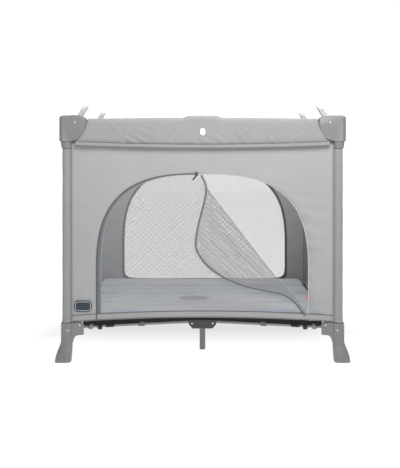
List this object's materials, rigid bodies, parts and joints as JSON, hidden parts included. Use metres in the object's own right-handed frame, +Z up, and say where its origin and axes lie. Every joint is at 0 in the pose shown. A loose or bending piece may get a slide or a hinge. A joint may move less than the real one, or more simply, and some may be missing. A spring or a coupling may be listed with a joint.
{
  "type": "folding travel playpen",
  "caption": "Square folding travel playpen: padded rails, cloth walls with an arched zip-up mesh door, folding mattress and a collapsing floor frame with splayed feet.",
  "frame": {"origin": "on the floor at the middle of the playpen", "axes": "+Z up, -Y out through the door, +X to the right seen from the door"},
  "size_m": [0.97, 0.97, 0.8461],
  "materials": {
    "frame_steel": "grey powder-coated steel tube",
    "cover_plastic": "satin grey moulded plastic",
    "foot_plastic": "satin mid-grey moulded plastic",
    "joint_plastic": "satin dark grey moulded plastic",
    "button_plastic": "glossy white plastic",
    "pad_fabric": "grey woven polyester, lightly padded",
    "wall_fabric": "light grey woven polyester",
    "mesh_fabric": "pale knitted see-through mesh",
    "floor_fabric": "black woven polyester",
    "mattress_fabric": "soft printed cover with pale blotches of colour",
    "webbing": "milky white flexible strap",
    "badge_rubber": "plain dark blue soft badge",
    "zip_plastic": "dark grey zip hardware"
  },
  "bodies": {
    "post_fl": {"post_front_left": "frame_steel", "corner_cover_front_left": "cover_plastic", "foot_front_left": "foot_plastic", "wall_front": "wall_fabric", "wall_left": "wall_fabric", "door_panel": "mesh_fabric", "badge": "badge_rubber", "front_rail_pad": "pad_fabric", "left_rail_pad": "pad_fabric"},
    "arm_fl": {"floor_arm_front_left": "frame_steel"},
    "post_fr": {"post_front_right": "frame_steel", "corner_cover_front_right": "cover_plastic", "foot_front_right": "foot_plastic", "wall_right": "wall_fabric", "right_rail_pad": "pad_fabric"},
    "arm_fr": {"floor_arm_front_right": "frame_steel"},
    "post_bl": {"post_back_left": "frame_steel", "corner_cover_back_left": "cover_plastic", "foot_back_left": "foot_plastic", "wall_back": "wall_fabric", "back_rail_pad": "pad_fabric"},
    "arm_bl": {"floor_arm_back_left": "frame_steel"},
    "post_br": {"post_back_right": "frame_steel", "corner_cover_back_right": "cover_plastic", "foot_back_right": "foot_plastic"},
    "arm_br": {"floor_arm_back_right": "frame_steel"},
    "joint_f": {"floor_joint_front": "joint_plastic", "centre_leg_front": "frame_steel"},
    "joint_b": {"floor_joint_back": "joint_plastic", "centre_leg_back": "frame_steel"},
    "cross_f": {"cross_tube_front": "frame_steel"},
    "cross_b": {"cross_tube_back": "frame_steel"},
    "hub": {"floor_hub": "joint_plastic", "hub_pull_strap": "webbing", "floor_panel": "floor_fabric"},
    "mattress": {"mattress": "mattress_fabric"},
    "rail_front_left": {"front_rail_left": "frame_steel"},
    "rail_front_right": {"front_rail_right": "frame_steel"},
    "latch_front": {"front_latch": "cover_plastic"},
    "rail_back_left": {"back_rail_left": "frame_steel"},
    "rail_back_right": {"back_rail_right": "frame_steel"},
    "latch_back": {"back_latch": "cover_plastic"},
    "rail_left_front": {"left_rail_front": "frame_steel", "grab_loop_left_front": "webbing"},
    "rail_left_back": {"left_rail_back": "frame_steel", "grab_loop_left_back": "webbing"},
    "latch_left": {"left_latch": "cover_plastic"},
    "rail_right_front": {"right_rail_front": "frame_steel", "grab_loop_right_front": "webbing"},
    "rail_right_back": {"right_rail_back": "frame_steel", "grab_loop_right_back": "webbing"},
    "latch_right": {"right_latch": "cover_plastic"},
    "button_front": {"front_latch_button": "button_plastic"},
    "button_back": {"back_latch_button": "button_plastic"},
    "button_left": {"left_latch_button": "button_plastic"},
    "button_right": {"right_latch_button": "button_plastic"},
    "zip_slider": {"zip_slider": "zip_plastic"},
    "zip_pull": {"zip_pull": "zip_plastic"}
  },
  "joints": [
    {"name": "fold", "type": "hinge", "parent": "post_fl", "child": "arm_fl", "pos_m": [-0.4185, -0.435, 0.112], "axis": [0.4033, -0.9151, 0], "range_deg": [0, 80], "deforming": ["wall_front", "wall_left", "wall_right", "wall_back", "door_panel", "front_rail_pad", "left_rail_pad", "right_rail_pad", "back_rail_pad", "floor_panel", "mattress"]},
    {"name": "joint_f_turn", "type": "hinge", "parent": "arm_fl", "child": "joint_f", "pos_m": [-0.0355, -0.26622, 0.09943], "axis": [0.4033, -0.9151, 0], "range_deg": [-80, 0]},
    {"name": "arm_fr_turn", "type": "hinge", "parent": "joint_f", "child": "arm_fr", "pos_m": [0.0355, -0.26622, 0.09943], "axis": [-0.4033, -0.9151, 0], "range_deg": [-80, 0]},
    {"name": "post_fr_turn", "type": "hinge", "parent": "arm_fr", "child": "post_fr", "pos_m": [0.4185, -0.435, 0.112], "axis": [-0.4033, -0.9151, 0], "range_deg": [0, 80]},
    {"name": "cross_f_turn", "type": "hinge", "parent": "joint_f", "child": "cross_f", "pos_m": [0, -0.24022, 0.09943], "axis": [1, 0, 0], "range_deg": [0, 80]},
    {"name": "hub_turn", "type": "hinge", "parent": "cross_f", "child": "hub", "pos_m": [0, -0.026, 0.093], "axis": [1, 0, 0], "range_deg": [-80, 0]},
    {"name": "cross_b_turn", "type": "hinge", "parent": "hub", "child": "cross_b", "pos_m": [0, 0.026, 0.093], "axis": [1, 0, 0], "range_deg": [-80, 0]},
    {"name": "joint_b_turn", "type": "hinge", "parent": "cross_b", "child": "joint_b", "pos_m": [0, 0.24022, 0.09943], "axis": [1, 0, 0], "range_deg": [0, 80]},
    {"name": "arm_bl_turn", "type": "hinge", "parent": "joint_b", "child": "arm_bl", "pos_m": [-0.0355, 0.26622, 0.09943], "axis": [0.4033, 0.9151, 0], "range_deg": [-80, 0]},
    {"name": "post_bl_turn", "type": "hinge", "parent": "arm_bl", "child": "post_bl", "pos_m": [-0.4185, 0.435, 0.112], "axis": [0.4033, 0.9151, 0], "range_deg": [0, 80]},
    {"name": "arm_br_turn", "type": "hinge", "parent": "joint_b", "child": "arm_br", "pos_m": [0.0355, 0.26622, 0.09943], "axis": [0.4033, -0.9151, 0], "range_deg": [-80, 0]},
    {"name": "post_br_turn", "type": "hinge", "parent": "arm_br", "child": "post_br", "pos_m": [0.4185, 0.435, 0.112], "axis": [0.4033, -0.9151, 0], "range_deg": [0, 80]},
    {"name": "rail_front_left_turn", "type": "hinge", "parent": "post_fl", "child": "rail_front_left", "pos_m": [-0.42, -0.448, 0.781], "axis": [0, -1, 0], "range_deg": [-80, 0]},
    {"name": "rail_front_right_turn", "type": "hinge", "parent": "post_fr", "child": "rail_front_right", "pos_m": [0.42, -0.448, 0.781], "axis": [0, 1, 0], "range_deg": [-80, 0]},
    {"name": "latch_front_turn", "type": "hinge", "parent": "rail_front_left", "child": "latch_front", "pos_m": [-0.037, -0.448, 0.7925], "axis": [0, -1, 0], "range_deg": [0, 80]},
    {"name": "rail_back_left_turn", "type": "hinge", "parent": "post_bl", "child": "rail_back_left", "pos_m": [-0.42, 0.448, 0.781], "axis": [0, -1, 0], "range_deg": [-80, 0]},
    {"name": "rail_back_right_turn", "type": "hinge", "parent": "post_br", "child": "rail_back_right", "pos_m": [0.42, 0.448, 0.781], "axis": [0, 1, 0], "range_deg": [-80, 0]},
    {"name": "latch_back_turn", "type": "hinge", "parent": "rail_back_left", "child": "latch_back", "pos_m": [-0.037, 0.448, 0.7925], "axis": [0, -1, 0], "range_deg": [0, 80]},
    {"name": "rail_left_front_turn", "type": "hinge", "parent": "post_fl", "child": "rail_left_front", "pos_m": [-0.448, -0.42, 0.781], "axis": [1, 0, 0], "range_deg": [-80, 0]},
    {"name": "rail_left_back_turn", "type": "hinge", "parent": "post_bl", "child": "rail_left_back", "pos_m": [-0.448, 0.42, 0.781], "axis": [-1, 0, 0], "range_deg": [-80, 0]},
    {"name": "latch_left_turn", "type": "hinge", "parent": "rail_left_front", "child": "latch_left", "pos_m": [-0.448, -0.037, 0.7925], "axis": [1, 0, 0], "range_deg": [0, 80]},
    {"name": "rail_right_front_turn", "type": "hinge", "parent": "post_fr", "child": "rail_right_front", "pos_m": [0.448, -0.42, 0.781], "axis": [1, 0, 0], "range_deg": [-80, 0]},
    {"name": "rail_right_back_turn", "type": "hinge", "parent": "post_br", "child": "rail_right_back", "pos_m": [0.448, 0.42, 0.781], "axis": [-1, 0, 0], "range_deg": [-80, 0]},
    {"name": "latch_right_turn", "type": "hinge", "parent": "rail_right_front", "child": "latch_right", "pos_m": [0.448, -0.037, 0.7925], "axis": [1, 0, 0], "range_deg": [0, 80]},
    {"name": "button_front_press", "type": "slide", "parent": "latch_front", "child": "button_front", "axis": [0, 1, 0], "range_m": [0, 0.004], "stiffness_N_per_m": 300, "springref_m": -0.001},
    {"name": "button_back_press", "type": "slide", "parent": "latch_back", "child": "button_back", "axis": [0, -1, 0], "range_m": [0, 0.004], "stiffness_N_per_m": 300, "springref_m": -0.001},
    {"name": "button_left_press", "type": "slide", "parent": "latch_left", "child": "button_left", "axis": [1, 0, 0], "range_m": [0, 0.004], "stiffness_N_per_m": 300, "springref_m": -0.001},
    {"name": "button_right_press", "type": "slide", "parent": "latch_right", "child": "button_right", "axis": [-1, 0, 0], "range_m": [0, 0.004], "stiffness_N_per_m": 300, "springref_m": -0.001},
    {"name": "mattress_lift", "type": "slide", "parent": "hub", "child": "mattress", "axis": [0, 0, 1], "range_m": [0, 0.66]},
    {"name": "zip_slide", "type": "slide", "parent": "latch_front", "child": "zip_slider", "axis": [1, 0, 0], "range_m": [-0.05, 0.03]},
    {"name": "zip_pull_swing", "type": "hinge", "parent": "zip_slider", "child": "zip_pull", "pos_m": [-0.02, -0.4585, 0.6125], "axis": [0, 1, 0], "range_deg": [-100, 40]}
  ],
  "couplings": [
    {"joint": "joint_f_turn", "follows": "fold", "ratio": -1},
    {"joint": "arm_fr_turn", "follows": "fold", "ratio": -1},
    {"joint": "post_fr_turn", "follows": "fold", "ratio": 1},
    {"joint": "cross_f_turn", "follows": "fold", "ratio": 1},
    {"joint": "hub_turn", "follows": "fold", "ratio": -1},
    {"joint": "cross_b_turn", "follows": "fold", "ratio": -1},
    {"joint": "joint_b_turn", "follows": "fold", "ratio": 1},
    {"joint": "arm_bl_turn", "follows": "fold", "ratio": -1},
    {"joint": "post_bl_turn", "follows": "fold", "ratio": 1},
    {"joint": "arm_br_turn", "follows": "fold", "ratio": -1},
    {"joint": "post_br_turn", "follows": "fold", "ratio": 1},
    {"joint": "rail_front_left_turn", "follows": "fold", "ratio": -1},
    {"joint": "rail_front_right_turn", "follows": "fold", "ratio": -1},
    {"joint": "latch_front_turn", "follows": "fold", "ratio": 1},
    {"joint": "rail_back_left_turn", "follows": "fold", "ratio": -1},
    {"joint": "rail_back_right_turn", "follows": "fold", "ratio": -1},
    {"joint": "latch_back_turn", "follows": "fold", "ratio": 1},
    {"joint": "rail_left_front_turn", "follows": "fold", "ratio": -1},
    {"joint": "rail_left_back_turn", "follows": "fold", "ratio": -1},
    {"joint": "latch_left_turn", "follows": "fold", "ratio": 1},
    {"joint": "rail_right_front_turn", "follows": "fold", "ratio": -1},
    {"joint": "rail_right_back_turn", "follows": "fold", "ratio": -1},
    {"joint": "latch_right_turn", "follows": "fold", "ratio": 1}
  ]
}
